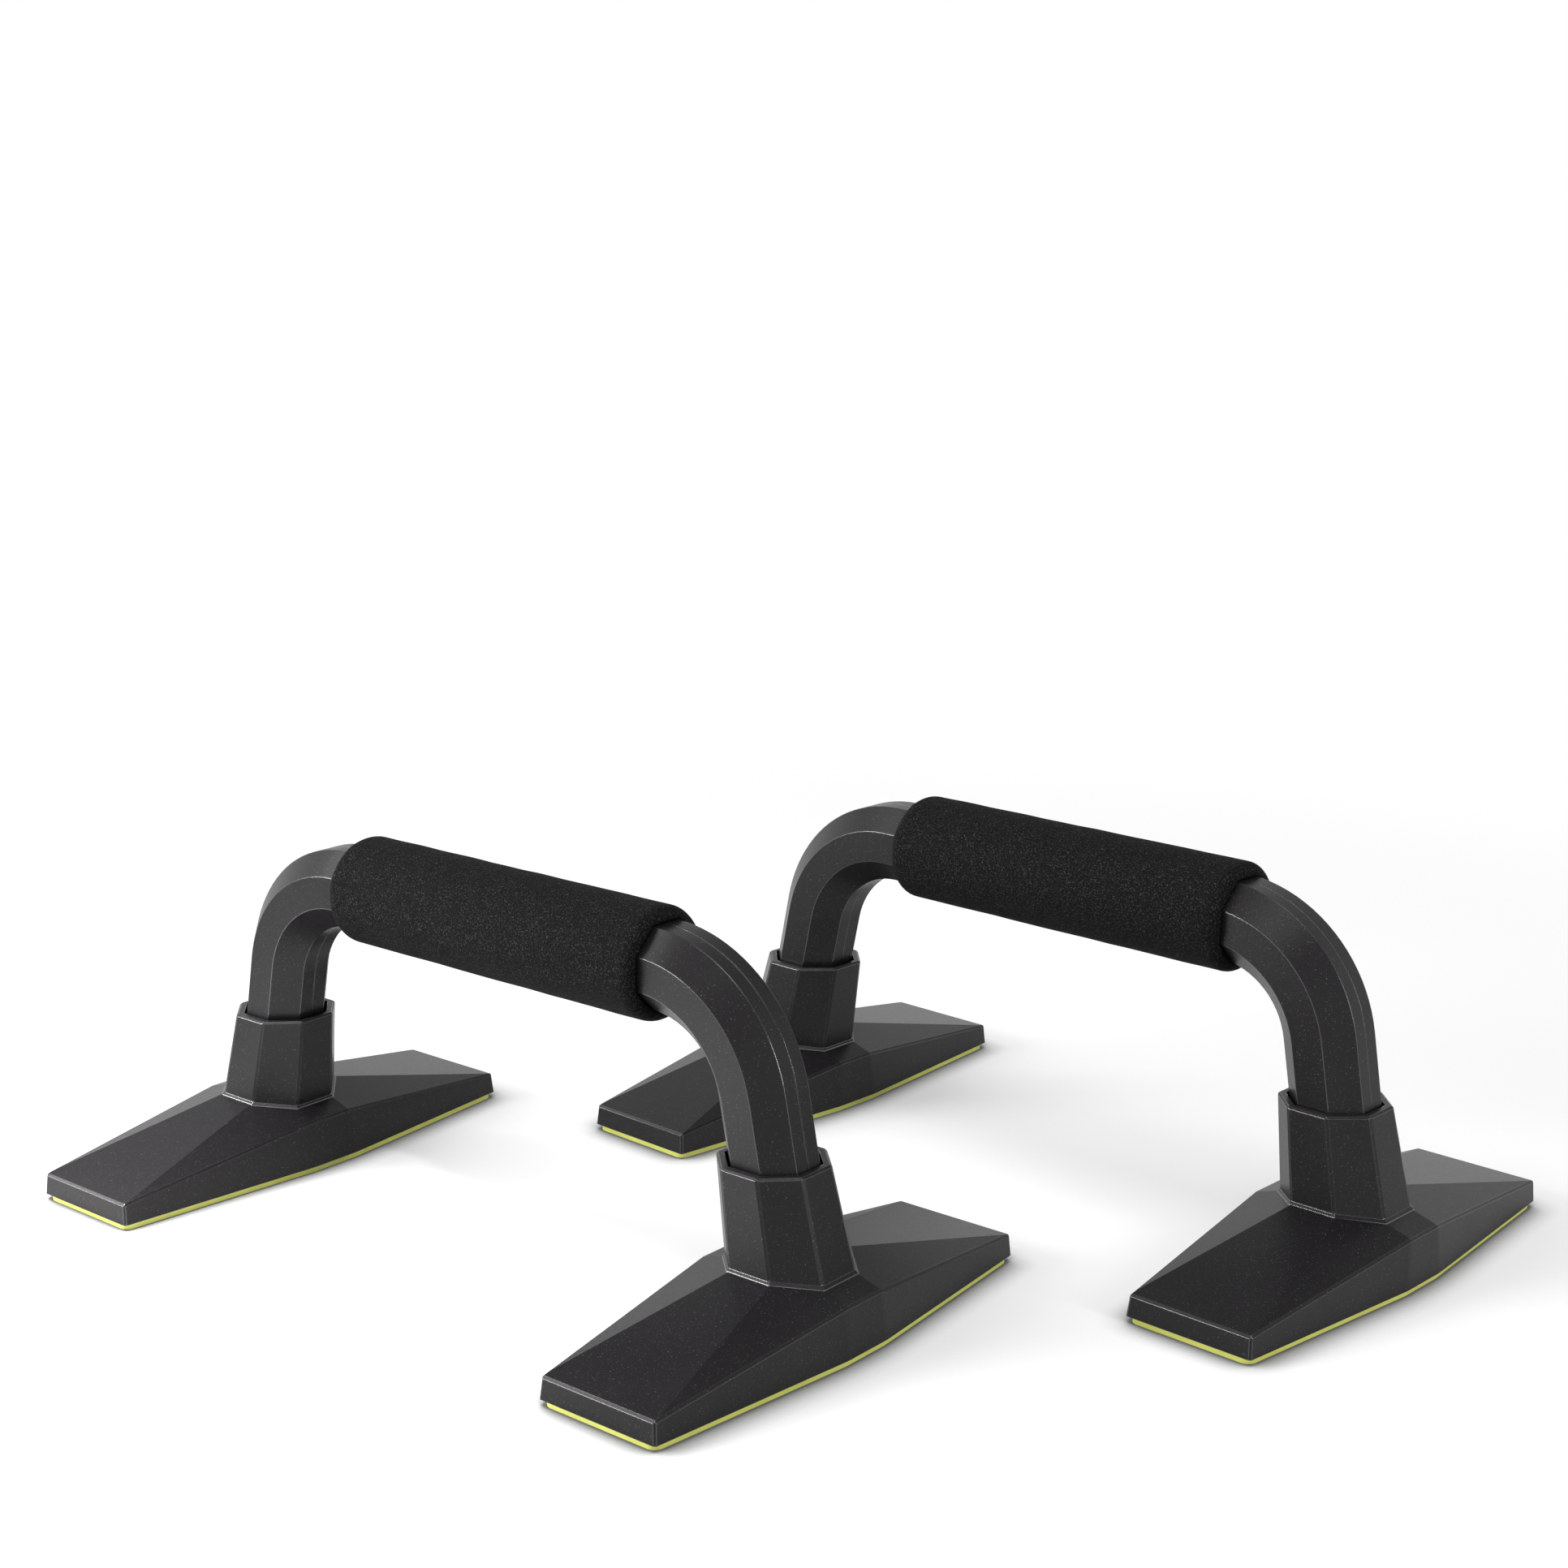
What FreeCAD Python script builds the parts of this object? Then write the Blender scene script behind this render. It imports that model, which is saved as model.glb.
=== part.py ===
import FreeCAD, Part
import math
import os

V = FreeCAD.Vector

# Handle: a hollow octagonal bar bent into a U and moulded as two half shells
BAR_ACROSS_FLATS = 27.5
BAR_WALL = 3.0
BEND_RADIUS = 41.5
RUN_HEIGHT = 110.8
LEG_CROSSING = 105.2
LEG_SPLAY = 11.6
SEAM_GAP = 0.16
TONGUE_WIDTH = 1.0
TONGUE_HEIGHT = 1.0
TONGUE_LENGTH = 120.0
TONGUE_CLEARANCE = 0.12

# Screws that hold the half shells together, hidden under the grip
SCREW_SPACING = 84.0
SCREW_SHANK_RADIUS = 1.5
SCREW_HEAD_RADIUS = 3.2
SCREW_HEAD_HEIGHT = 2.2
SCREW_TIP_DEPTH = 8.5
SCREW_CLEARANCE = 0.1
PILLAR_WIDTH = 8.8

# Foam sleeve on the run
GRIP_DIAMETER = 37.6
GRIP_LENGTH = 138.0
GRIP_END_BEVEL = 2.6
GRIP_GAP = 0.12

# Foot: a low faceted shell that rises to an octagonal socket
FOOT_CENTRE = 123.6
FOOT_LENGTH = 180.0
FOOT_END_WIDTH = 45.3
FOOT_END_HEIGHT = 9.8
FOOT_MID_WIDTH = 59.4
FOOT_MID_FLAT = 17.0
FOOT_MID_HEIGHT = 19.3
FOOT_DRAFT = 5.0
FOOT_WALL = 2.8
FOOT_EDGE_BEVEL = 0.7
RIB_THICKNESS = 2.0
RIB_OFFSET = 10.0
CROSS_RIB_PITCH = 32.0
CROSS_RIBS_EACH_WAY = 2

# Socket that takes a leg
SOCKET_RIM_HEIGHT = 56.6
SOCKET_RIM_ACROSS_FLATS = 35.1
SOCKET_BASE_HEIGHT = 24.4
SOCKET_BASE_ACROSS_FLATS = 39.7
SOCKET_FLARE = 0.7
SOCKET_EDGE_BEVEL = 0.7
SOCKET_FLOOR_HEIGHT = 12.0
SOCKET_FLOOR_THICKNESS = 2.6
SLEEVE_WALL = 2.6
MOUTH_GAP = 1.0
GUIDE_RIB_WIDTH = 2.2
GUIDE_RIB_DROP = 7.0
LEG_FIT_GAP = 0.08
LEG_FLOOR_GAP = 0.2
VENT_ACROSS_FLATS = 5.0

# Sole: a non-slip pad that plugs into the foot's open underside
SOLE_VISIBLE = 2.2
SOLE_INSET = 1.0
SOLE_CORNER_RADIUS = 3.5
SOLE_GAP = 0.05
SOLE_LAND_HEIGHT = 2.4
SOLE_LAND_CLEARANCE = 0.3
TREAD_PITCH = 16.0
TREADS_EACH_WAY = 4
TREAD_WIDTH = 2.2
TREAD_DEPTH = 0.7
TREAD_BORDER = 5.0

# Where the rear bar stands from the front one, as in the photo
REAR_SHIFT_X = 107.7
REAR_SHIFT_Y = 171.1
REAR_TURN = -3.83
FRONT_GRIP_SHIFT = 3.0
REAR_GRIP_SHIFT = 7.3

# Values that follow from the ones above
OCTAGON_FLAT_SHARE = math.tan(math.radians(22.5))
BIG = 4 * FOOT_LENGTH
BAR_HALF = BAR_ACROSS_FLATS / 2
BAR_INSIDE = BAR_HALF - BAR_WALL
TURN = 90 - LEG_SPLAY
SPLAY_SIN = math.sin(math.radians(LEG_SPLAY))
SPLAY_COS = math.cos(math.radians(LEG_SPLAY))
SPLAY_TAN = math.tan(math.radians(LEG_SPLAY))
RUN_HALF = LEG_CROSSING - BEND_RADIUS * math.tan(math.radians(TURN / 2))
LEG_UP = V(-SPLAY_SIN, 0, SPLAY_COS)
BORE_HALF = BAR_HALF + MOUTH_GAP
DRAFT_TAN = math.tan(math.radians(FOOT_DRAFT))


def leg_axis_x(height):
    """Where the near leg's axis is at a height."""
    return LEG_CROSSING + (RUN_HEIGHT - height) * SPLAY_TAN


def leg_frame():
    """Placement whose Z runs up the near leg's axis from the socket's floor."""
    floor = V(leg_axis_x(SOCKET_FLOOR_HEIGHT), 0, SOCKET_FLOOR_HEIGHT)
    return FreeCAD.Placement(floor, FreeCAD.Rotation(V(0, 1, 0), -LEG_SPLAY))


def octagon(half):
    """Corners of a regular octagon with flats at plus and minus half."""
    flat = half * OCTAGON_FLAT_SHARE
    return [(half, -flat), (half, flat), (flat, half), (-flat, half),
            (-half, flat), (-half, -flat), (-flat, -half), (flat, -half)]


def closed_wire(points):
    """Straight-sided wire through the points and back to the first."""
    return Part.makePolygon(list(points) + [points[0]])


def rounded_wire(corners):
    """Wire through (point, radius) corners, with an arc where the radius isn't zero."""
    starts, ends, arcs = [], [], []
    count = len(corners)
    for i, (point, radius) in enumerate(corners):
        before = (corners[i - 1][0] - point).normalize()
        after = (corners[(i + 1) % count][0] - point).normalize()
        half_angle = before.getAngle(after) / 2
        reach = radius / math.tan(half_angle)
        bisector = (before + after).normalize()
        middle = point + bisector * (radius / math.sin(half_angle) - radius)
        starts.append(point + before * reach)
        ends.append(point + after * reach)
        arcs.append(middle)
    edges = []
    for i in range(count):
        if corners[i][1] > 0:
            edges.append(Part.Arc(starts[i], arcs[i], ends[i]).toShape())
        edges.append(Part.LineSegment(ends[i], starts[(i + 1) % count]).toShape())
    return Part.Wire(edges)


def prism(points, height):
    """Solid from a flat polygon of points, raised along Z."""
    return Part.Face(closed_wire(points)).extrude(V(0, 0, height))


def octagon_prism(half, height):
    """Octagonal prism on the XY plane."""
    return prism([V(x, y, 0) for x, y in octagon(half)], height)


def planar_solid(faces):
    """Closed solid from flat faces given as lists of corners."""
    shell = Part.makeShell([Part.Face(closed_wire(corners)) for corners in faces])
    shell.sewShape()
    solid = Part.makeSolid(shell)
    if solid.Volume < 0:
        solid.reverse()
    return solid


def beyond(point, normal):
    """Big block on the outer side of a plane."""
    block = Part.makeBox(BIG, BIG, BIG, V(-BIG / 2, -BIG / 2, 0))
    block.Placement = FreeCAD.Placement(point, FreeCAD.Rotation(V(0, 0, 1), normal))
    return block


def bevel_edges(form, edges, bevel):
    """Convex flat-sided form with a flat bevel of one width along the chosen edges."""
    cut = form
    for edge in edges:
        one, other = [face.normalAt(0, 0) for face in form.ancestorsOfType(edge, Part.Face)]
        place = edge.Vertexes[0].Point
        outward = (one + other).normalize()
        if outward.dot(place - form.CenterOfMass) < 0:
            outward = outward * -1
        depth = bevel * math.sin(one.getAngle(other) / 2)
        cut = cut.cut(beyond(place - outward * depth, outward))
    return cut


def octagon_frustum(low_half, low, high_half, high):
    """Leaning octagonal frustum between level octagons round two points."""
    below = [low + V(x, y, 0) for x, y in octagon(low_half)]
    above = [high + V(x, y, 0) for x, y in octagon(high_half)]
    sides = [[below[i - 1], below[i], above[i], above[i - 1]] for i in range(len(below))]
    return planar_solid([below, above] + sides)


def half_shell_face():
    """Section of the left half shell at the middle of the run."""
    seam = -SEAM_GAP / 2
    outer = by_height([V(0, y, r) for y, r in octagon(BAR_HALF) if y < 0])
    inner = by_height([V(0, y, r) for y, r in octagon(BAR_INSIDE) if y < 0])
    outer = [V(0, seam, BAR_HALF)] + outer + [V(0, seam, -BAR_HALF)]
    inner = [V(0, seam, BAR_INSIDE)] + inner + [V(0, seam, -BAR_INSIDE)]
    return Part.Face(closed_wire([p + V(0, 0, RUN_HEIGHT) for p in outer + inner[::-1]]))


def by_height(points):
    """Corners on the left of the seam, from the top round to the bottom."""
    return sorted(points, key=lambda p: math.atan2(-p.y, p.z))


def swept_u(face, leg_end):
    """Sweep a section at the middle of the run along the whole U."""
    run = face.extrude(V(RUN_HALF, 0, 0))
    at_bend = face.translated(V(RUN_HALF, 0, 0))
    pivot = V(RUN_HALF, 0, RUN_HEIGHT - BEND_RADIUS)
    bend = at_bend.revolve(pivot, V(0, 1, 0), TURN)
    at_leg = at_bend.copy()
    at_leg.rotate(pivot, V(0, 1, 0), TURN)
    bend_end = RUN_HEIGHT - BEND_RADIUS * (1 - math.cos(math.radians(TURN)))
    leg = at_leg.extrude(LEG_UP * ((leg_end - bend_end) / SPLAY_COS))
    half_u = run.fuse([bend, leg])
    return half_u.fuse(half_u.mirror(V(0, 0, 0), V(1, 0, 0))).removeSplitter()


def leg_tip_wall():
    """End wall inside the near leg's tip, on the left of the seam."""
    wall = octagon_prism(BAR_INSIDE + SEAM_GAP, BAR_WALL).translated(V(0, 0, LEG_FLOOR_GAP))
    right_side = Part.makeBox(BIG, BIG, BIG, V(-BIG / 2, -SEAM_GAP / 2, -BIG / 2))
    return on_leg(wall.cut(right_side))


def screw_places():
    """Where the screws cross the run."""
    return [V(side * SCREW_SPACING / 2, 0, RUN_HEIGHT) for side in (-1, 1)]


def across(radius, place, start, end):
    """Round bar along Y from start to end at a place on the run."""
    return Part.makeCylinder(radius, end - start, V(place.x, start, place.z), V(0, 1, 0))


def seam_tongues(clearance):
    """Tongues along the run's upper and lower walls, reaching from the left half into the right."""
    width = TONGUE_WIDTH + 2 * clearance
    length = TONGUE_LENGTH + 2 * clearance
    height = 2 * (TONGUE_HEIGHT + clearance)
    wall_middle = (BAR_HALF + BAR_INSIDE) / 2
    tongues = []
    for side in (-1, 1):
        corner = V(-length / 2, -height / 2, RUN_HEIGHT + side * wall_middle - width / 2)
        tongues.append(Part.makeBox(length, height, width, corner))
    return tongues


def half_shell():
    """Left half shell with closed leg tips and its screw pillars."""
    shell = swept_u(half_shell_face(), SOCKET_FLOOR_HEIGHT + LEG_FLOOR_GAP * SPLAY_COS)
    tip = leg_tip_wall()
    adds = [tip, tip.mirror(V(0, 0, 0), V(1, 0, 0))]
    reach = BAR_HALF - BAR_WALL / 2
    for place in screw_places():
        corner = place - V(PILLAR_WIDTH / 2, reach, PILLAR_WIDTH / 2)
        adds.append(Part.makeBox(PILLAR_WIDTH, reach - SEAM_GAP / 2, PILLAR_WIDTH, corner))
    return shell.fuse(adds)


def handle_left():
    """Half shell with the tongues and the screws' pilot holes."""
    pilot = SCREW_SHANK_RADIUS + SCREW_CLEARANCE
    holes = [across(pilot, p, -SCREW_TIP_DEPTH - SCREW_CLEARANCE, BAR_HALF) for p in screw_places()]
    return half_shell().fuse(seam_tongues(0)).cut(holes).removeSplitter()


def handle_right():
    """Half shell with the grooves and the screw heads' pockets."""
    shell = half_shell().mirror(V(0, 0, 0), V(0, 1, 0))
    shank = SCREW_SHANK_RADIUS + SCREW_CLEARANCE
    head = SCREW_HEAD_RADIUS + SCREW_CLEARANCE
    seat = BAR_HALF - SCREW_HEAD_HEIGHT - SCREW_CLEARANCE
    holes = [across(shank, p, -BAR_HALF, BAR_HALF) for p in screw_places()]
    holes += [across(head, p, seat, BAR_HALF + BAR_WALL) for p in screw_places()]
    return shell.cut(holes + seam_tongues(TONGUE_CLEARANCE)).removeSplitter()


def screw(place):
    """Self-tapping screw with a flat head, driven from the right."""
    top = BAR_HALF - SCREW_CLEARANCE
    seat = top - SCREW_HEAD_HEIGHT
    head = across(SCREW_HEAD_RADIUS, place, seat, top)
    return head.fuse(across(SCREW_SHANK_RADIUS, place, -SCREW_TIP_DEPTH, seat))


def handle_screws():
    """All screws of one handle."""
    return Part.makeCompound([screw(p) for p in screw_places()])


def grip(shift):
    """Foam sleeve with eased ends, bored to the bar it is pushed over."""
    radius, half = GRIP_DIAMETER / 2, GRIP_LENGTH / 2
    near = [V(half - GRIP_END_BEVEL, 0, radius), V(half, 0, radius - GRIP_END_BEVEL)]
    far = [V(-p.x, 0, p.z) for p in reversed(near)]
    profile = Part.Face(closed_wire([V(-half, 0, 0)] + far + near + [V(half, 0, 0)]))
    sleeve = profile.revolve(V(0, 0, 0), V(1, 0, 0), 360).translated(V(shift, 0, RUN_HEIGHT))
    section = [V(0, y, RUN_HEIGHT + r) for y, r in octagon(BAR_HALF + GRIP_GAP)]
    bar = swept_u(Part.Face(closed_wire(section)), SOCKET_RIM_HEIGHT)
    return sleeve.cut(bar).removeSplitter()


def facet_normal(a, b, c):
    """Normal of the plane through three corners."""
    return (b - a).cross(c - a).normalize()


def foot_quarter(inset, low):
    """Corners of one quarter of the foot's form from its centre, with the skin moved in by an inset."""
    end_top = V(FOOT_END_WIDTH / 2 - inset, FOOT_LENGTH / 2 - inset, FOOT_END_HEIGHT - inset)
    end_low = end_top + V(DRAFT_TAN, DRAFT_TAN, -1) * (end_top.z - low)
    mid_top = V(FOOT_MID_WIDTH / 2 - inset, FOOT_MID_FLAT / 2, FOOT_MID_HEIGHT - inset)
    wall = facet_normal(end_top, end_low, mid_top)
    mid_low = V(mid_top.x + (mid_top.z - low) * DRAFT_TAN, 0, low)
    mid_low.y = end_top.y - (wall.x * (mid_low.x - end_top.x) + wall.z * (low - end_top.z)) / wall.y
    base = SOCKET_BASE_ACROSS_FLATS / 2 - inset
    crest = V(base * OCTAGON_FLAT_SHARE, base, SOCKET_BASE_HEIGHT - inset)
    slope = facet_normal(end_top, crest, mid_top)
    side = V(crest.y, crest.x, 0)
    side.z = end_top.z - (slope.x * (side.x - end_top.x) + slope.y * (side.y - end_top.y)) / slope.z
    return {"end_top": end_top, "end_low": end_low, "mid_top": mid_top,
            "mid_low": mid_low, "crest": crest, "side": side}


def foot_form(inset, low):
    """Faceted solid of the foot below its socket: walls, sloping facets and a hidden top."""
    quarter = foot_quarter(inset, low)

    def at(name, side, end):
        corner = quarter[name]
        return V(corner.x * side, corner.y * end, corner.z)

    def across_end(upper, lower, end):
        return [at(upper, 1, end), at(upper, -1, end), at(lower, -1, end), at(lower, 1, end)]

    def along_side(upper, lower, side):
        return [at(upper, side, 1), at(upper, side, -1), at(lower, side, -1), at(lower, side, 1)]

    bottom = [("mid_low", 1, 1), ("end_low", 1, 1), ("end_low", -1, 1), ("mid_low", -1, 1)]
    bottom += [(name, -side, -end) for name, side, end in bottom]
    faces = [[at(*corner) for corner in bottom]]
    faces.append([at("crest", side, end) for side, end in ((1, 1), (-1, 1), (-1, -1), (1, -1))])
    for end in (1, -1):
        faces.append(across_end("end_top", "end_low", end))
        faces.append(across_end("crest", "end_top", end))
    for side in (1, -1):
        faces.append(along_side("mid_top", "mid_low", side))
        faces.append(along_side("side", "mid_top", side))
        faces.append(along_side("crest", "side", side))
        for end in (1, -1):
            for other_pair in (("mid_low", "end_low"), ("side", "crest")):
                faces.append([at(name, side, end) for name in ("end_top", "mid_top") + other_pair])
    return planar_solid(faces)


def is_rim_edge(edge):
    """True for the edges round the top of the walls and at the walls' corners."""
    ends = [v.Point for v in edge.Vertexes]
    socket_reach = SOCKET_BASE_ACROSS_FLATS / 2 + FOOT_EDGE_BEVEL
    on_wall = all(max(abs(p.x), abs(p.y)) > socket_reach for p in ends)
    return on_wall and max(p.z for p in ends) > SOLE_VISIBLE + FOOT_EDGE_BEVEL


def foot_skin():
    """Outside of the foot below the socket, with bevelled edges round its walls."""
    form = foot_form(0, SOLE_VISIBLE)
    return bevel_edges(form, [e for e in form.Edges if is_rim_edge(e)], FOOT_EDGE_BEVEL)


def foot_ribs(hollow):
    """Stiffening ribs inside the hollow, two along the foot and several across."""
    low = SOLE_VISIBLE + SOLE_LAND_HEIGHT + SOLE_GAP
    ribs = []
    for side in (-1, 1):
        corner = V(side * RIB_OFFSET - RIB_THICKNESS / 2, -FOOT_LENGTH / 2, low)
        ribs.append(Part.makeBox(RIB_THICKNESS, FOOT_LENGTH, SOCKET_BASE_HEIGHT, corner))
    for end in (-1, 1):
        for step in range(1, CROSS_RIBS_EACH_WAY + 1):
            corner = V(-FOOT_MID_WIDTH, end * step * CROSS_RIB_PITCH - RIB_THICKNESS / 2, low)
            ribs.append(Part.makeBox(2 * FOOT_MID_WIDTH, RIB_THICKNESS, SOCKET_BASE_HEIGHT, corner))
    return ribs[0].fuse(ribs[1:]).common(hollow)


def on_leg(shape):
    """Copy of a shape drawn up from the origin, moved on to the near leg's axis."""
    moved = shape.copy()
    moved.Placement = leg_frame().multiply(shape.Placement)
    return moved


def leg_axis(height):
    """Point on the near leg's axis at a height."""
    return V(leg_axis_x(height), 0, height)


def socket_half(height):
    """Half the width across the socket's flats at a height."""
    taper = (SOCKET_BASE_ACROSS_FLATS - SOCKET_RIM_ACROSS_FLATS) / (SOCKET_RIM_HEIGHT - SOCKET_BASE_HEIGHT)
    return (SOCKET_BASE_ACROSS_FLATS + (SOCKET_BASE_HEIGHT - height) * taper) / 2


def socket_form(margin):
    """Leaning tapered octagon from the foot's middle up to the rim, moved out by a margin."""
    low, rim = FOOT_MID_HEIGHT, SOCKET_RIM_HEIGHT
    return octagon_frustum(socket_half(low) + margin, leg_axis(low), socket_half(rim) + margin, leg_axis(rim))


def socket_seam():
    """Corners of the line where the socket's wall meets the foot, in order."""
    side_height = foot_quarter(0, SOLE_VISIBLE)["side"].z
    corners = []
    for x, y in octagon(1):
        height = SOCKET_BASE_HEIGHT if abs(y) > abs(x) else side_height
        corners.append(leg_axis(height) + V(x, y, 0) * socket_half(height))
    return corners


def socket_flare():
    """Small flare along the line where the socket's wall meets the foot."""
    up = V(0, 0, 1)
    flare = socket_form(SOCKET_FLARE)
    corners = socket_seam()
    for start, end in zip(corners, corners[1:] + corners[:1]):
        along = (end - start).normalize()
        outward = along.cross(up)
        flare = flare.cut(beyond(start + up * SOCKET_FLARE, (outward - up).cross(along)))
    return flare


def socket_wall():
    """Leaning tapered socket with bevelled edges and a small flare at its foot."""
    body = socket_form(0)
    outer = [e for e in body.Edges if max(v.Z for v in e.Vertexes) > SOCKET_BASE_HEIGHT]
    return bevel_edges(body, outer, SOCKET_EDGE_BEVEL).fuse(socket_flare())


def guide_ribs():
    """Ribs along the bore's flats that take up the gap to the leg."""
    length = (SOCKET_RIM_HEIGHT - SOCKET_FLOOR_HEIGHT) / SPLAY_COS - GUIDE_RIB_DROP
    inner = BAR_HALF + LEG_FIT_GAP
    depth = BORE_HALF - inner + SLEEVE_WALL / 2
    ribs = []
    for step in range(8):
        rib = Part.makeBox(depth, GUIDE_RIB_WIDTH, length, V(inner, -GUIDE_RIB_WIDTH / 2, 0))
        rib.rotate(V(0, 0, 0), V(0, 0, 1), 45 * step)
        ribs.append(rib)
    return [on_leg(rib) for rib in ribs]


def foot_near():
    """Near foot: faceted shell, ribs, socket with its bore, floor and guide ribs."""
    centre = V(FOOT_CENTRE, 0, 0)
    skin = foot_skin()
    hollow = foot_form(FOOT_WALL, 0)
    ribs = foot_ribs(hollow).translated(centre)
    shell = skin.cut(hollow).translated(centre)
    floor = SOCKET_FLOOR_THICKNESS
    sleeve_half = BORE_HALF + SLEEVE_WALL
    slant = sleeve_half * SPLAY_TAN
    sleeve_top = (FOOT_MID_HEIGHT - SOCKET_FLOOR_HEIGHT) / SPLAY_COS + slant + SLEEVE_WALL
    sleeve = octagon_prism(sleeve_half, sleeve_top + floor).translated(V(0, 0, -floor))
    body = shell.fuse([ribs, socket_wall(), on_leg(sleeve)])
    bore = on_leg(octagon_prism(BORE_HALF, BIG))
    vent = on_leg(octagon_prism(VENT_ACROSS_FLATS / 2, BIG).translated(V(0, 0, -BIG / 2)))
    body = body.cut([bore, vent])
    return body.fuse(guide_ribs()).removeSplitter()


def foot_outline(skin_inset, height, inset):
    """Corners of the foot's form at a height in order, moved in by an inset."""
    quarter = foot_quarter(skin_inset, height)
    end, mid = quarter["end_low"], quarter["mid_low"]
    points = [V(mid.x, mid.y, 0), V(end.x, end.y, 0), V(-end.x, end.y, 0), V(-mid.x, mid.y, 0)]
    points += [V(-p.x, -p.y, 0) for p in points]
    moved = []
    count = len(points)
    for i, point in enumerate(points):
        before = (points[i - 1] - point).normalize()
        after = (points[(i + 1) % count] - point).normalize()
        half_angle = before.getAngle(after) / 2
        bisector = before + after
        moved.append(point + bisector.normalize() * (inset / math.sin(half_angle)))
    return moved


def pad(outline, low, high, radius):
    """Flat pad over an outline from low to high, with its end corners rounded."""
    end_reach = max(p.y for p in outline) - SOLE_CORNER_RADIUS
    corners = [(V(p.x, p.y, low), radius if abs(p.y) > end_reach else 0) for p in outline]
    return Part.Face(rounded_wire(corners)).extrude(V(0, 0, high - low))


def sole_near():
    """Near sole: a pad with a land that locates it, and treads across its underside."""
    top = SOLE_VISIBLE - SOLE_GAP
    body = pad(foot_outline(0, SOLE_VISIBLE, SOLE_INSET), 0, top, SOLE_CORNER_RADIUS)
    land_top = top + SOLE_LAND_HEIGHT
    land_outline = foot_outline(FOOT_WALL, land_top, SOLE_LAND_CLEARANCE)
    body = body.fuse(pad(land_outline, top - SOLE_GAP, land_top, 0))
    treads = []
    for step in range(-TREADS_EACH_WAY, TREADS_EACH_WAY + 1):
        corner = V(-FOOT_MID_WIDTH, step * TREAD_PITCH - TREAD_WIDTH / 2, -TREAD_DEPTH)
        treads.append(Part.makeBox(2 * FOOT_MID_WIDTH, TREAD_WIDTH, 2 * TREAD_DEPTH, corner))
    field = pad(foot_outline(0, SOLE_VISIBLE, SOLE_INSET + TREAD_BORDER), -TREAD_DEPTH, TREAD_DEPTH, 0)
    cuts = treads[0].fuse(treads[1:]).common(field)
    return body.cut(cuts).removeSplitter().translated(V(FOOT_CENTRE, 0, 0))


def turned_round(shape):
    """The same piece at the bar's far end."""
    far = shape.copy()
    far.rotate(V(0, 0, 0), V(0, 0, 1), 180)
    return far


def bar(name, grip_shift, shared):
    """Named pieces of one bar in its own frame."""
    pieces = {name + "_" + piece: shape.copy() for piece, shape in shared.items()}
    pieces[name + "_grip"] = grip(grip_shift)
    return pieces


def shared_pieces():
    """Pieces that both bars have alike."""
    foot = foot_near()
    sole = sole_near()
    return {"handle_left": handle_left(), "handle_right": handle_right(), "handle_screws": handle_screws(),
            "foot_near": foot, "foot_far": turned_round(foot),
            "sole_near": sole, "sole_far": turned_round(sole)}


def pair():
    """Both bars where they stand, with the origin under the middle of the whole."""
    shared = shared_pieces()
    pieces = bar("front", FRONT_GRIP_SHIFT, shared)
    rear = bar("rear", REAR_GRIP_SHIFT, shared)
    for piece, shape in rear.items():
        shape.rotate(V(0, 0, 0), V(0, 0, 1), REAR_TURN)
        shape.translate(V(REAR_SHIFT_X, REAR_SHIFT_Y, 0))
        pieces[piece] = shape
    box = FreeCAD.BoundBox()
    for shape in pieces.values():
        box.add(shape.optimalBoundingBox())
    for shape in pieces.values():
        shape.translate(V(-box.Center.x, -box.Center.y, -box.ZMin))
    return pieces


os.makedirs("parts", exist_ok=True)
for node, solid in pair().items():
    solid.exportStep("parts/" + node + ".step")
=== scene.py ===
import math

import bmesh
import bpy
from mathutils import Matrix, Vector, noise


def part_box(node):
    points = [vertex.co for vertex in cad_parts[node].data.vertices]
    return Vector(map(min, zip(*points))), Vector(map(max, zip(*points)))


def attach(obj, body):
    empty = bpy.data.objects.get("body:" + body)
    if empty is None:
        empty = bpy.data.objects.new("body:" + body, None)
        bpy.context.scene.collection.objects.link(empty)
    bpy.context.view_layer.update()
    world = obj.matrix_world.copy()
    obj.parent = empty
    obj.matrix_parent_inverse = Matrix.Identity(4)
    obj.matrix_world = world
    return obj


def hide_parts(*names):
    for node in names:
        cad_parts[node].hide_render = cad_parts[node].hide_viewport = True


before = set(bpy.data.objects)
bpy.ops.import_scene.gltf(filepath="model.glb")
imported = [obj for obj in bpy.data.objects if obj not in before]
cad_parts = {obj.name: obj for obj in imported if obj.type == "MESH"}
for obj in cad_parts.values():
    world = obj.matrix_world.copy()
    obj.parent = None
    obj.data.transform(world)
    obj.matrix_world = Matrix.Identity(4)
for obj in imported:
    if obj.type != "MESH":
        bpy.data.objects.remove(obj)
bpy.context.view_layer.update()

# Camera that took the photo, as a pinhole in the photo's own pixels
PHOTO_SIZE_PX = 1932
FOCAL_PX = 3098.3
AXIS_X_PX = 831.78
AXIS_Y_PX = 1329.87
CAMERA_EYE = Vector((0.5230, -0.6603, 0.3459))
CAMERA_AZIMUTH = math.radians(41.35)
CAMERA_ELEVATION = math.radians(19.76)
CAMERA_ROLL = math.radians(-0.22)
CAMERA_REACH = 50.0
SENSOR_WIDTH_MM = 36.0

# Bars as the solids have them, in metres
REAR_TURN = math.radians(-3.83)
BAR_TURNS = {"front": 0.0, "rear": REAR_TURN}
BAR_HALF = 0.01375
BEND_RADIUS = 0.0415
RUN_HALF = 0.0713
RUN_HEIGHT = 0.1108

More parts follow.
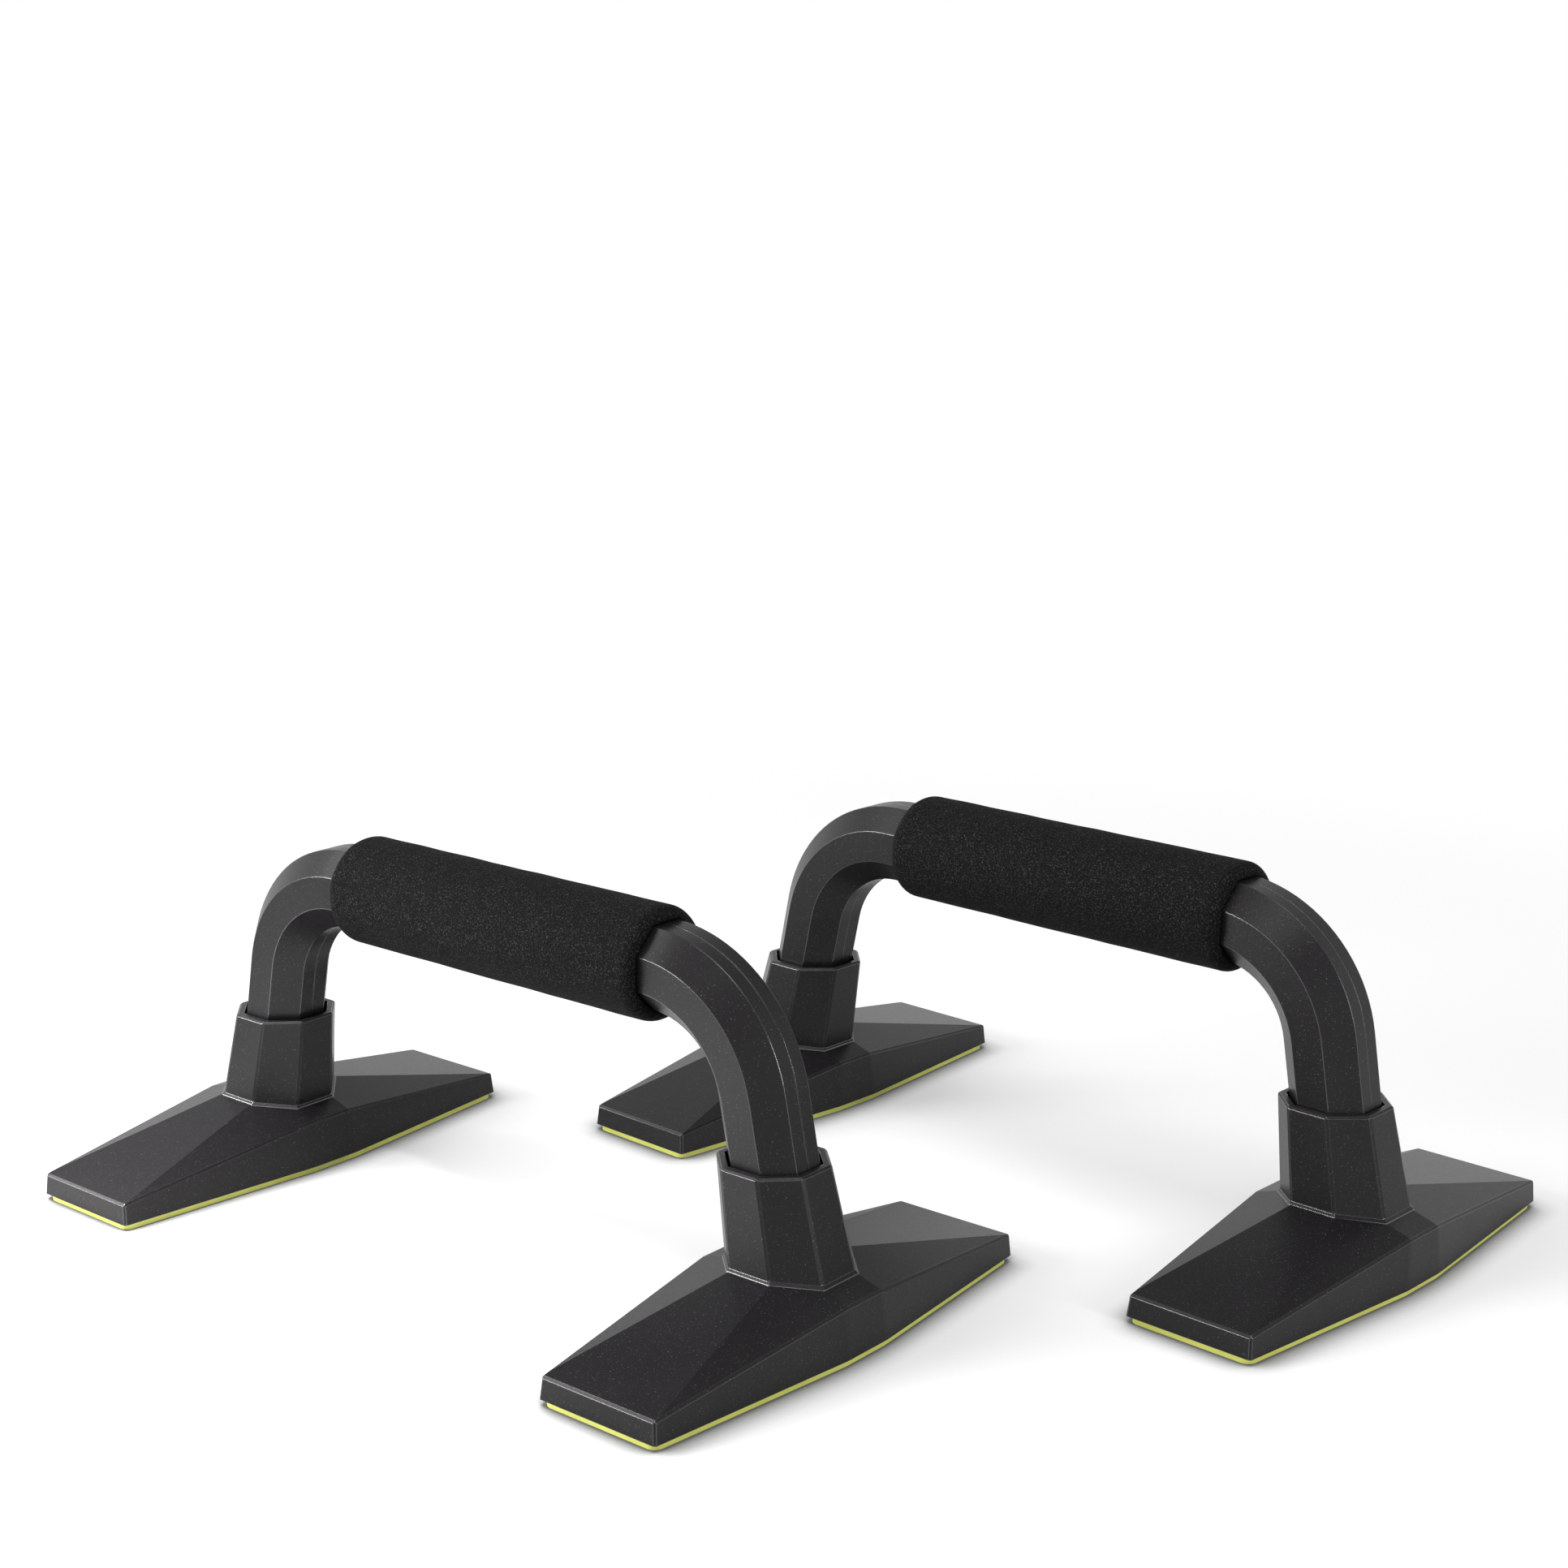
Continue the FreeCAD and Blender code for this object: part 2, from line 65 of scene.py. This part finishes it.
# Foam sleeves in metres: the shift of each solid along its run, and the sleeve's own pull and form
GRIP_SHIFTS = {"front": 0.0030, "rear": 0.0073}
GRIP_PULLS = {"front": -0.0013, "rear": -0.0009}
GRIP_RADIUS = 0.0191
GRIP_LENGTH = 0.1412
GRIP_END_RADIUS = 0.0044
GRIP_LIP = 0.0020
GRIP_SHOULDER_SHARE = 0.70
GRIP_GAP = 0.00012
GRIP_RIPPLE = 0.00012
GRIP_RIPPLE_SIZE = 0.011
GRIP_SIDES = 192
GRIP_RINGS = 120
GRIP_END_RINGS = 10
GRIP_LIP_RINGS = 5

# Tones as shares of white
BLACK = (0, 0, 0)
WHITE = (1, 1, 1)
FOAM_DARK = (0.0018, 0.0018, 0.0019)
FOAM_MIDDLE = (0.0046, 0.0046, 0.0047)
FOAM_SPECK = (0.0370, 0.0370, 0.0375)
PLASTIC_DARK = (0.0080, 0.0072, 0.0080)
PLASTIC_LIGHT = (0.0104, 0.0095, 0.0104)
PLASTIC_SPECK = (0.0600, 0.0600, 0.0610)
# Lighter tone of the edges: partly wear, partly a painted highlight
PLASTIC_EDGE_WEAR_AND_HIGHLIGHT = (0.0280, 0.0280, 0.0290)
RUBBER_DARK = (0.58, 0.60, 0.12)
RUBBER_LIGHT = (0.66, 0.68, 0.16)
STEEL_DARK = (0.42, 0.42, 0.43)
STEEL_LIGHT = (0.60, 0.60, 0.61)

# Noise patterns, each as its scale per metre, its detail and its roughness
PLASTIC_CLOUDS = (22.0, 3.0, 0.5)
PLASTIC_GRAIN = (1500.0, 2.0, 0.6)
PLASTIC_SPECKS = (2000.0, 1.0, 0.5)
FOAM_PITS = (1900.0, 2.0, 0.6)
RUBBER_MOTTLE = (60.0, 3.0, 0.55)
RUBBER_GRAIN = (1800.0, 2.0, 0.6)
STEEL_STREAKS = (900.0, 4.0, 0.6)
FOAM_CELLS_PER_METRE = 1300.0

# Shares of a noise pattern at which the tones stand
PLASTIC_CLOUD_STOPS = (0.35, 0.68)
PLASTIC_SPECK_STOPS = (0.67, 0.76)
FOAM_STOPS = (0.36, 0.55, 0.72)
RUBBER_STOPS = (0.3, 0.7)
STEEL_STOPS = (0.3, 0.7)
NEW_STOP = 0.5

# Gloss as a specular level, and roughness from the smoothest spot to the roughest
PLASTIC_GLOSS = 0.19
FOAM_GLOSS = 0.07
PLASTIC_ROUGHNESS = (0.26, 0.42)
FOAM_ROUGHNESS = (0.80, 0.95)
RUBBER_ROUGHNESS = (0.55, 0.68)
STEEL_ROUGHNESS = (0.28, 0.42)

# Bumps, each as its strength and its depth in metres
PLASTIC_BUMP = (0.35, 0.00010)
FOAM_CELL_BUMP = (0.5, 0.00030)
FOAM_PIT_BUMP = (0.8, 0.00050)
RUBBER_BUMP = (0.2, 0.00012)

# Worn moulded edges, lighter partly from wear and partly as a painted highlight: rounding in metres, and the
# turns of the normal that bound the wear and painted highlight and the seam
HANDLE_EDGE_RADIUS = 0.00050
FOOT_EDGE_RADIUS = 0.00045
EDGE_SAMPLES = 8
EDGE_ROUGHNESS = 0.19
EDGE_IOR = 1.95
EDGE_TURNS = (math.cos(math.radians(5)), math.cos(math.radians(22)))
SEAM_TURNS = (math.cos(math.radians(24)), math.cos(math.radians(32)))

# Floor in metres and shares of white, and the shares of open sky that bound its contact shadow
FLOOR_RADIUS = 1.8
FLOOR_SIDES = 96
FLOOR_COLOUR = (0.55, 0.55, 0.55)
FLOOR_LIFT = 0.325
FLOOR_FADE = (0.30, 0.75)
CONTACT_SAMPLES = 8
CONTACT_REACH = 0.011
CONTACT_SHARES = (0.50, 0.95)
CONTACT_LEVEL = 0.16

# Studio walls, as angles up from the floor and shares of white
WALL_TOP = math.radians(20)
CEILING_START = math.radians(50)
CEILING_LEVEL = 0.30
WALL_BOUNCE = 0.9

# Lamps in metres and watts
BARS_MIDDLE = (0, 0, 0.05)
OVERHEAD_PLACE = (0.30, -0.35, 1.55)
OVERHEAD_SIZE = (0.9, 0.9)
OVERHEAD_POWER = 10.0
LEFT_LOW_PLACE = (-0.78, -0.92, 0.48)
LEFT_LOW_SIZE = (0.90, 0.45)
LEFT_LOW_POWER = 23.0
LEFT_HIGH_PLACE = (-0.78, -0.42, 0.90)
LEFT_HIGH_SIZE = (0.5, 0.5)
LEFT_HIGH_POWER = 5.0
RIGHT_PLACE = (1.15, -0.05, 0.45)
RIGHT_SIZE = (0.20, 0.50)
RIGHT_POWER = 4.5
FLOOR_SPOT_PLACE = (-0.13, -0.50, 1.00)
FLOOR_SPOT_AIM = (-0.12, -0.315, 0)
FLOOR_SPOT_CONE = math.radians(26)
FLOOR_SPOT_BLEND = 1.0
FLOOR_SPOT_SIZE = 0.08
FLOOR_SPOT_POWER = 175.0


def node_tree(name):
    """New material with a principled shader, as its nodes, links and shader."""
    material = bpy.data.materials.new(name)
    material.use_nodes = True
    nodes, links = material.node_tree.nodes, material.node_tree.links
    return material, nodes, links, nodes["Principled BSDF"]


def place_node(nodes):
    """Place on the piece itself."""
    return nodes.new("ShaderNodeTexCoord").outputs["Object"]


def noise_node(nodes, links, where, pattern):
    """Noise over a place, by its pattern."""
    node = nodes.new("ShaderNodeTexNoise")
    for name, value in zip(("Scale", "Detail", "Roughness"), pattern):
        node.inputs[name].default_value = value
    links.new(where, node.inputs["Vector"])
    return node.outputs["Fac"]


def ramp_node(nodes, links, value, stops, colours):
    """Colour ramp whose colours stand at the stops."""
    node = nodes.new("ShaderNodeValToRGB")
    elements = node.color_ramp.elements
    while len(elements) < len(stops):
        elements.new(NEW_STOP)
    for element, position, colour in zip(elements, stops, colours):
        element.position = position
        element.color = (*colour, 1.0)
    links.new(value, node.inputs["Fac"])
    return node.outputs["Color"]


def bump_node(nodes, links, height, bump, normal=None):
    """Bump from a height, on top of another normal if there is one."""
    node = nodes.new("ShaderNodeBump")
    for name, value in zip(("Strength", "Distance"), bump):
        node.inputs[name].default_value = value
    links.new(height, node.inputs["Height"])
    if normal is not None:
        links.new(normal, node.inputs["Normal"])
    return node.outputs["Normal"]


def range_node(nodes, links, value, start=(0.0, 1.0), end=(0.0, 1.0), kind="LINEAR"):
    """Value of the starting range spread over the ending one, and held there."""
    node = nodes.new("ShaderNodeMapRange")
    node.interpolation_type = kind
    for name, limit in zip(("From Min", "From Max", "To Min", "To Max"), (*start, *end)):
        node.inputs[name].default_value = limit
    links.new(value, node.inputs["Value"])
    return node.outputs["Result"]


def math_node(nodes, links, operation, first, second):
    """Two values brought together by an operation, and held between 0 and 1."""
    node = nodes.new("ShaderNodeMath")
    node.operation = operation
    node.use_clamp = True
    links.new(first, node.inputs[0])
    links.new(second, node.inputs[1])
    return node.outputs["Value"]


def mix_node(nodes, links, share, one, other):
    """Colour that goes from one to the other by a share."""
    node = nodes.new("ShaderNodeMix")
    node.data_type = "RGBA"
    links.new(share, node.inputs["Factor"])
    links.new(one, node.inputs["A"])
    node.inputs["B"].default_value = (*other, 1.0)
    return node.outputs["Result"]


def bevel_node(nodes, radius):
    """Normal that is softened over every edge within a radius."""
    node = nodes.new("ShaderNodeBevel")
    node.samples = EDGE_SAMPLES
    node.inputs["Radius"].default_value = radius
    return node.outputs["Normal"]


def wear_and_highlight_node(nodes, links, softened, seamed):
    """Share of wear and painted highlight: 0 on a flat face, 1 at an edge and, if seamed, 0 again in the
    sharper mould seam.
    """
    dot = nodes.new("ShaderNodeVectorMath")
    dot.operation = "DOT_PRODUCT"
    links.new(softened, dot.inputs[0])
    links.new(nodes.new("ShaderNodeNewGeometry").outputs["Normal"], dot.inputs[1])
    turn = dot.outputs["Value"]
    edge = range_node(nodes, links, turn, EDGE_TURNS)
    if not seamed:
        return edge
    return math_node(nodes, links, "SUBTRACT", edge, range_node(nodes, links, turn, SEAM_TURNS))


def seen_node(nodes, links):
    """1 for what the camera, a gloss or glass sees, and 0 for light that bounces on."""
    path = nodes.new("ShaderNodeLightPath").outputs
    seen = path["Is Camera Ray"]
    for ray in ("Is Glossy Ray", "Is Transmission Ray"):
        seen = math_node(nodes, links, "MAXIMUM", seen, path[ray])
    return seen


def moulded_plastic(name, edge_radius, seamed):
    """Charcoal moulded plastic with soft edges, lighter partly from wear and partly as a painted highlight,
    a fine grain, faint clouds and a few pale specks.
    """
    material, nodes, links, shader = node_tree(name)
    where = place_node(nodes)
    cloud = noise_node(nodes, links, where, PLASTIC_CLOUDS)
    grain = noise_node(nodes, links, where, PLASTIC_GRAIN)
    speck = noise_node(nodes, links, where, PLASTIC_SPECKS)
    tone = ramp_node(nodes, links, cloud, PLASTIC_CLOUD_STOPS, (PLASTIC_DARK, PLASTIC_LIGHT))
    specks = ramp_node(nodes, links, speck, PLASTIC_SPECK_STOPS, (BLACK, WHITE))
    speckled = mix_node(nodes, links, specks, tone, PLASTIC_SPECK)
    softened = bevel_node(nodes, edge_radius)
    edge = wear_and_highlight_node(nodes, links, softened, seamed)
    # Edges take a lighter colour, partly wear and partly a painted highlight
    links.new(mix_node(nodes, links, edge, speckled, PLASTIC_EDGE_WEAR_AND_HIGHLIGHT), shader.inputs["Base Color"])
    links.new(range_node(nodes, links, grain, end=PLASTIC_ROUGHNESS), shader.inputs["Roughness"])
    links.new(bump_node(nodes, links, grain, PLASTIC_BUMP, softened), shader.inputs["Normal"])
    shader.inputs["Specular IOR Level"].default_value = PLASTIC_GLOSS
    links.new(edge, shader.inputs["Coat Weight"])
    links.new(softened, shader.inputs["Coat Normal"])
    shader.inputs["Coat Roughness"].default_value = EDGE_ROUGHNESS
    shader.inputs["Coat IOR"].default_value = EDGE_IOR
    return material


def closed_cell_foam(name):
    """Near-black foam whose cut cells show as a fine speckle."""
    material, nodes, links, shader = node_tree(name)
    where = place_node(nodes)
    cells = nodes.new("ShaderNodeTexVoronoi")
    cells.inputs["Scale"].default_value = FOAM_CELLS_PER_METRE
    links.new(where, cells.inputs["Vector"])
    pits = noise_node(nodes, links, where, FOAM_PITS)
    tone = ramp_node(nodes, links, pits, FOAM_STOPS, (FOAM_DARK, FOAM_MIDDLE, FOAM_SPECK))
    links.new(tone, shader.inputs["Base Color"])
    links.new(range_node(nodes, links, pits, end=FOAM_ROUGHNESS), shader.inputs["Roughness"])
    celled = bump_node(nodes, links, cells.outputs["Distance"], FOAM_CELL_BUMP)
    links.new(bump_node(nodes, links, pits, FOAM_PIT_BUMP, celled), shader.inputs["Normal"])
    shader.inputs["Specular IOR Level"].default_value = FOAM_GLOSS
    return material


def sole_rubber(name):
    """Soft yellow-green rubber with a faint mottled tone."""
    material, nodes, links, shader = node_tree(name)
    where = place_node(nodes)
    mottle = noise_node(nodes, links, where, RUBBER_MOTTLE)
    grain = noise_node(nodes, links, where, RUBBER_GRAIN)
    tone = ramp_node(nodes, links, mottle, RUBBER_STOPS, (RUBBER_DARK, RUBBER_LIGHT))
    links.new(tone, shader.inputs["Base Color"])
    links.new(range_node(nodes, links, mottle, end=RUBBER_ROUGHNESS), shader.inputs["Roughness"])
    links.new(bump_node(nodes, links, grain, RUBBER_BUMP), shader.inputs["Normal"])
    return material


def zinc_steel(name):
    """Zinc-plated screw steel with an uneven tone."""
    material, nodes, links, shader = node_tree(name)
    streaks = noise_node(nodes, links, place_node(nodes), STEEL_STREAKS)
    tone = ramp_node(nodes, links, streaks, STEEL_STOPS, (STEEL_DARK, STEEL_LIGHT))
    links.new(tone, shader.inputs["Base Color"])
    links.new(range_node(nodes, links, streaks, end=STEEL_ROUGHNESS), shader.inputs["Roughness"])
    shader.inputs["Metallic"].default_value = 1.0
    return material


def dress_node(node, material):
    """Give a CAD node its finish."""
    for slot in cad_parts[node].material_slots:
        slot.material = material


def octagon_reach(angle):
    """Distance from the bar's axis to the sleeve's octagonal bore at an angle."""
    eighth = math.pi / 4
    off_flat = (angle + eighth / 2) % eighth - eighth / 2
    return (BAR_HALF + GRIP_GAP) / math.cos(off_flat)


def bar_drop(along):
    """How far the bar's axis has bent down at a distance along the run."""
    past = max(0.0, abs(along) - RUN_HALF)
    return BEND_RADIUS - math.sqrt(BEND_RADIUS ** 2 - past ** 2)


def grip_stations():
    """Stations of the sleeve's section: place along the run, share of the shoulder, share of the lip."""
    half = GRIP_LENGTH / 2
    straight = half - GRIP_END_RADIUS
    end = []
    for step in range(GRIP_LIP_RINGS):
        turn = math.pi / 2 * step / GRIP_LIP_RINGS
        end.append((GRIP_LIP * (1 - math.sin(turn)) - half, 1.0, 1 - math.cos(turn)))
    for step in range(GRIP_END_RINGS + 1):
        turn = math.pi / 2 * step / GRIP_END_RINGS
        end.append((-straight - GRIP_END_RADIUS * math.cos(turn), 1 - math.sin(turn), 1.0))
    middle = [(-straight + 2 * straight * step / GRIP_RINGS, 0.0, 1.0) for step in range(1, GRIP_RINGS)]
    return end + middle + [(-along, shoulder, lip) for along, shoulder, lip in reversed(end)]


def grip_ring(form, along, shoulder, lip):
    """One ring of the sleeve's surface, which follows the bent bar at the bore."""
    ring = []
    outer = GRIP_RADIUS - GRIP_RIPPLE
    drop = Vector((0, 0, bar_drop(along) * (1 - lip)))
    for side in range(GRIP_SIDES):
        angle = 2 * math.pi * side / GRIP_SIDES
        away = Vector((0, math.cos(angle), math.sin(angle)))
        inner = octagon_reach(angle)
        round_in = min((outer - inner) * GRIP_SHOULDER_SHARE, GRIP_END_RADIUS)
        reach = inner + (outer - round_in * shoulder - inner) * lip
        place = Vector((along, 0, 0)) + away * reach
        ripple = noise.noise(place / GRIP_RIPPLE_SIZE) * GRIP_RIPPLE * (1 - shoulder)
        ring.append(form.verts.new(place + away * ripple - drop))
    return ring


def grip_mesh(shift):
    """Foam sleeve along X with soft round ends, a faint ripple and an octagonal bore."""
    form = bmesh.new()
    rings = [grip_ring(form, along + shift, shoulder, lip) for along, shoulder, lip in grip_stations()]
    for first, second in zip(rings, rings[1:] + rings[:1]):
        for side in range(GRIP_SIDES):
            after = (side + 1) % GRIP_SIDES
            form.faces.new((first[side], first[after], second[after], second[side]))
    bmesh.ops.recalc_face_normals(form, faces=form.faces)
    mesh = bpy.data.meshes.new("foam_sleeve")
    form.to_mesh(mesh)
    form.free()
    for polygon in mesh.polygons:
        polygon.use_smooth = True
    return mesh


def add_grip(bar, material):
    """Foam sleeve of one bar, in place of its plain solid."""
    node = bar + "_grip"
    low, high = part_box(node)
    turn = Matrix.Rotation(BAR_TURNS[bar], 4, "Z")
    middle = (low + high) / 2
    centre = Vector((middle.x, middle.y, RUN_HEIGHT)) - turn @ Vector((GRIP_SHIFTS[bar], 0, 0))
    mesh = grip_mesh(GRIP_SHIFTS[bar] + GRIP_PULLS[bar])
    mesh.transform(Matrix.Translation(centre) @ turn)
    mesh.materials.append(material)
    piece = bpy.data.objects.new(bar + "_foam_sleeve", mesh)
    bpy.context.scene.collection.objects.link(piece)
    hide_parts(node)
    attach(piece, bar + "_handle")


def dress_bars():
    """Finishes for every piece of both bars."""
    handle = moulded_plastic("handle_plastic", HANDLE_EDGE_RADIUS, seamed=True)
    foot = moulded_plastic("foot_plastic", FOOT_EDGE_RADIUS, seamed=False)
    rubber = sole_rubber("sole_rubber")
    steel = zinc_steel("screw_steel")
    foam = closed_cell_foam("foam")
    finishes = {"handle_left": handle, "handle_right": handle, "handle_screws": steel,
                "foot_near": foot, "foot_far": foot, "sole_near": rubber, "sole_far": rubber}
    for bar in BAR_TURNS:
        for piece, material in finishes.items():
            dress_node(bar + "_" + piece, material)
        add_grip(bar, foam)


def photo_camera():
    """Camera at the photo's place, turn and framing."""
    level = math.cos(CAMERA_ELEVATION)
    side = Vector((math.sin(CAMERA_AZIMUTH), -math.cos(CAMERA_AZIMUTH), 0))
    ahead = -(side * level + Vector((0, 0, math.sin(CAMERA_ELEVATION))))
    right = ahead.cross(Vector((0, 0, 1))).normalized()
    up = right.cross(ahead)
    turn = Matrix((right, up, -ahead)).transposed() @ Matrix.Rotation(CAMERA_ROLL, 3, "Z")
    data = bpy.data.cameras.new("photo_camera")
    data.sensor_width = SENSOR_WIDTH_MM
    data.lens = FOCAL_PX / PHOTO_SIZE_PX * SENSOR_WIDTH_MM
    data.shift_x = (PHOTO_SIZE_PX / 2 - AXIS_X_PX) / PHOTO_SIZE_PX
    data.shift_y = (AXIS_Y_PX - PHOTO_SIZE_PX / 2) / PHOTO_SIZE_PX
    data.clip_end = CAMERA_REACH
    camera = bpy.data.objects.new("photo_camera", data)
    camera.matrix_world = Matrix.Translation(CAMERA_EYE) @ turn.to_4x4()
    bpy.context.scene.collection.objects.link(camera)
    bpy.context.scene.camera = camera


def contact_node(nodes, links):
    """Level of the floor, which falls in the soft contact shadow beside a foot."""
    node = nodes.new("ShaderNodeAmbientOcclusion")
    node.samples = CONTACT_SAMPLES
    node.inputs["Distance"].default_value = CONTACT_REACH
    return range_node(nodes, links, node.outputs["AO"], CONTACT_SHARES, (CONTACT_LEVEL, 1.0))


def fade_node(nodes, links):
    """Share of plain white, which grows with the distance from the bars."""
    reach = nodes.new("ShaderNodeVectorMath")
    reach.operation = "LENGTH"
    links.new(place_node(nodes), reach.inputs[0])
    return range_node(nodes, links, reach.outputs["Value"], FLOOR_FADE, kind="SMOOTHSTEP")


def floor_material():
    """White floor that keeps its shadows near the bars and fades to plain white further out."""
    material = bpy.data.materials.new("white_floor")
    material.use_nodes = True
    nodes, links = material.node_tree.nodes, material.node_tree.links
    nodes.clear()
    lit = nodes.new("ShaderNodeBsdfDiffuse")
    lit.inputs["Color"].default_value = (*FLOOR_COLOUR, 1.0)
    lift = nodes.new("ShaderNodeEmission")
    strength = range_node(nodes, links, seen_node(nodes, links), end=(0.0, FLOOR_LIFT))
    links.new(strength, lift.inputs["Strength"])
    near = nodes.new("ShaderNodeAddShader")
    links.new(lit.outputs["BSDF"], near.inputs[0])
    links.new(lift.outputs["Emission"], near.inputs[1])
    grounded = nodes.new("ShaderNodeMixShader")
    links.new(contact_node(nodes, links), grounded.inputs["Fac"])
    links.new(near.outputs["Shader"], grounded.inputs[2])
    plain = nodes.new("ShaderNodeEmission")
    floor = nodes.new("ShaderNodeMixShader")
    links.new(fade_node(nodes, links), floor.inputs["Fac"])
    links.new(grounded.outputs["Shader"], floor.inputs[1])
    links.new(plain.outputs["Emission"], floor.inputs[2])
    links.new(floor.outputs["Shader"], nodes.new("ShaderNodeOutputMaterial").inputs["Surface"])
    return material


def add_floor():
    """Round level floor."""
    form = bmesh.new()
    bmesh.ops.create_circle(form, cap_ends=True, segments=FLOOR_SIDES, radius=FLOOR_RADIUS)
    mesh = bpy.data.meshes.new("floor")
    form.to_mesh(mesh)
    form.free()
    mesh.materials.append(floor_material())
    floor = bpy.data.objects.new("floor", mesh)
    bpy.context.scene.collection.objects.link(floor)


def studio_world():
    """White walls round the studio, up to a dim ceiling."""
    world = bpy.data.worlds.new("studio")
    world.use_nodes = True
    nodes, links = world.node_tree.nodes, world.node_tree.links
    up = nodes.new("ShaderNodeSeparateXYZ")
    links.new(nodes.new("ShaderNodeTexCoord").outputs["Generated"], up.inputs["Vector"])
    heights = (math.sin(WALL_TOP), math.sin(CEILING_START))
    wall = range_node(nodes, links, up.outputs["Z"], heights, (1.0, CEILING_LEVEL), "SMOOTHSTEP")
    dim = range_node(nodes, links, seen_node(nodes, links), end=(WALL_BOUNCE, 1.0))
    background = nodes["Background"]
    background.inputs["Color"].default_value = (*WHITE, 1.0)
    links.new(math_node(nodes, links, "MULTIPLY", wall, dim), background.inputs["Strength"])
    bpy.context.scene.world = world


def place_lamp(data, place, aim):
    """Lamp at a place, turned to its aim."""
    lamp = bpy.data.objects.new(data.name, data)
    turn = (Vector(aim) - Vector(place)).to_track_quat("-Z", "Y").to_matrix().to_4x4()
    lamp.matrix_world = Matrix.Translation(place) @ turn
    bpy.context.scene.collection.objects.link(lamp)


def soft_box(name, place, size, power):
    """Soft box at a place, turned to the bars."""
    data = bpy.data.lights.new(name, "AREA")
    data.shape = "RECTANGLE"
    data.size, data.size_y = size
    data.energy = power
    place_lamp(data, place, BARS_MIDDLE)


def floor_spot():
    """Soft spot on the floor at the camera's left, whose bounce lights the bars' left sides."""
    data = bpy.data.lights.new("floor_spot", "SPOT")
    data.spot_size = FLOOR_SPOT_CONE
    data.spot_blend = FLOOR_SPOT_BLEND
    data.shadow_soft_size = FLOOR_SPOT_SIZE
    data.energy = FLOOR_SPOT_POWER
    place_lamp(data, FLOOR_SPOT_PLACE, FLOOR_SPOT_AIM)


def studio_light():
    """Soft boxes overhead, low and high on the camera's left and tall on its right, and the floor's spot."""
    soft_box("overhead_box", OVERHEAD_PLACE, OVERHEAD_SIZE, OVERHEAD_POWER)
    soft_box("left_low_box", LEFT_LOW_PLACE, LEFT_LOW_SIZE, LEFT_LOW_POWER)
    soft_box("left_high_box", LEFT_HIGH_PLACE, LEFT_HIGH_SIZE, LEFT_HIGH_POWER)
    soft_box("right_box", RIGHT_PLACE, RIGHT_SIZE, RIGHT_POWER)
    floor_spot()


dress_bars()
photo_camera()
add_floor()
studio_world()
studio_light()
bpy.context.scene.view_settings.view_transform = "Standard"
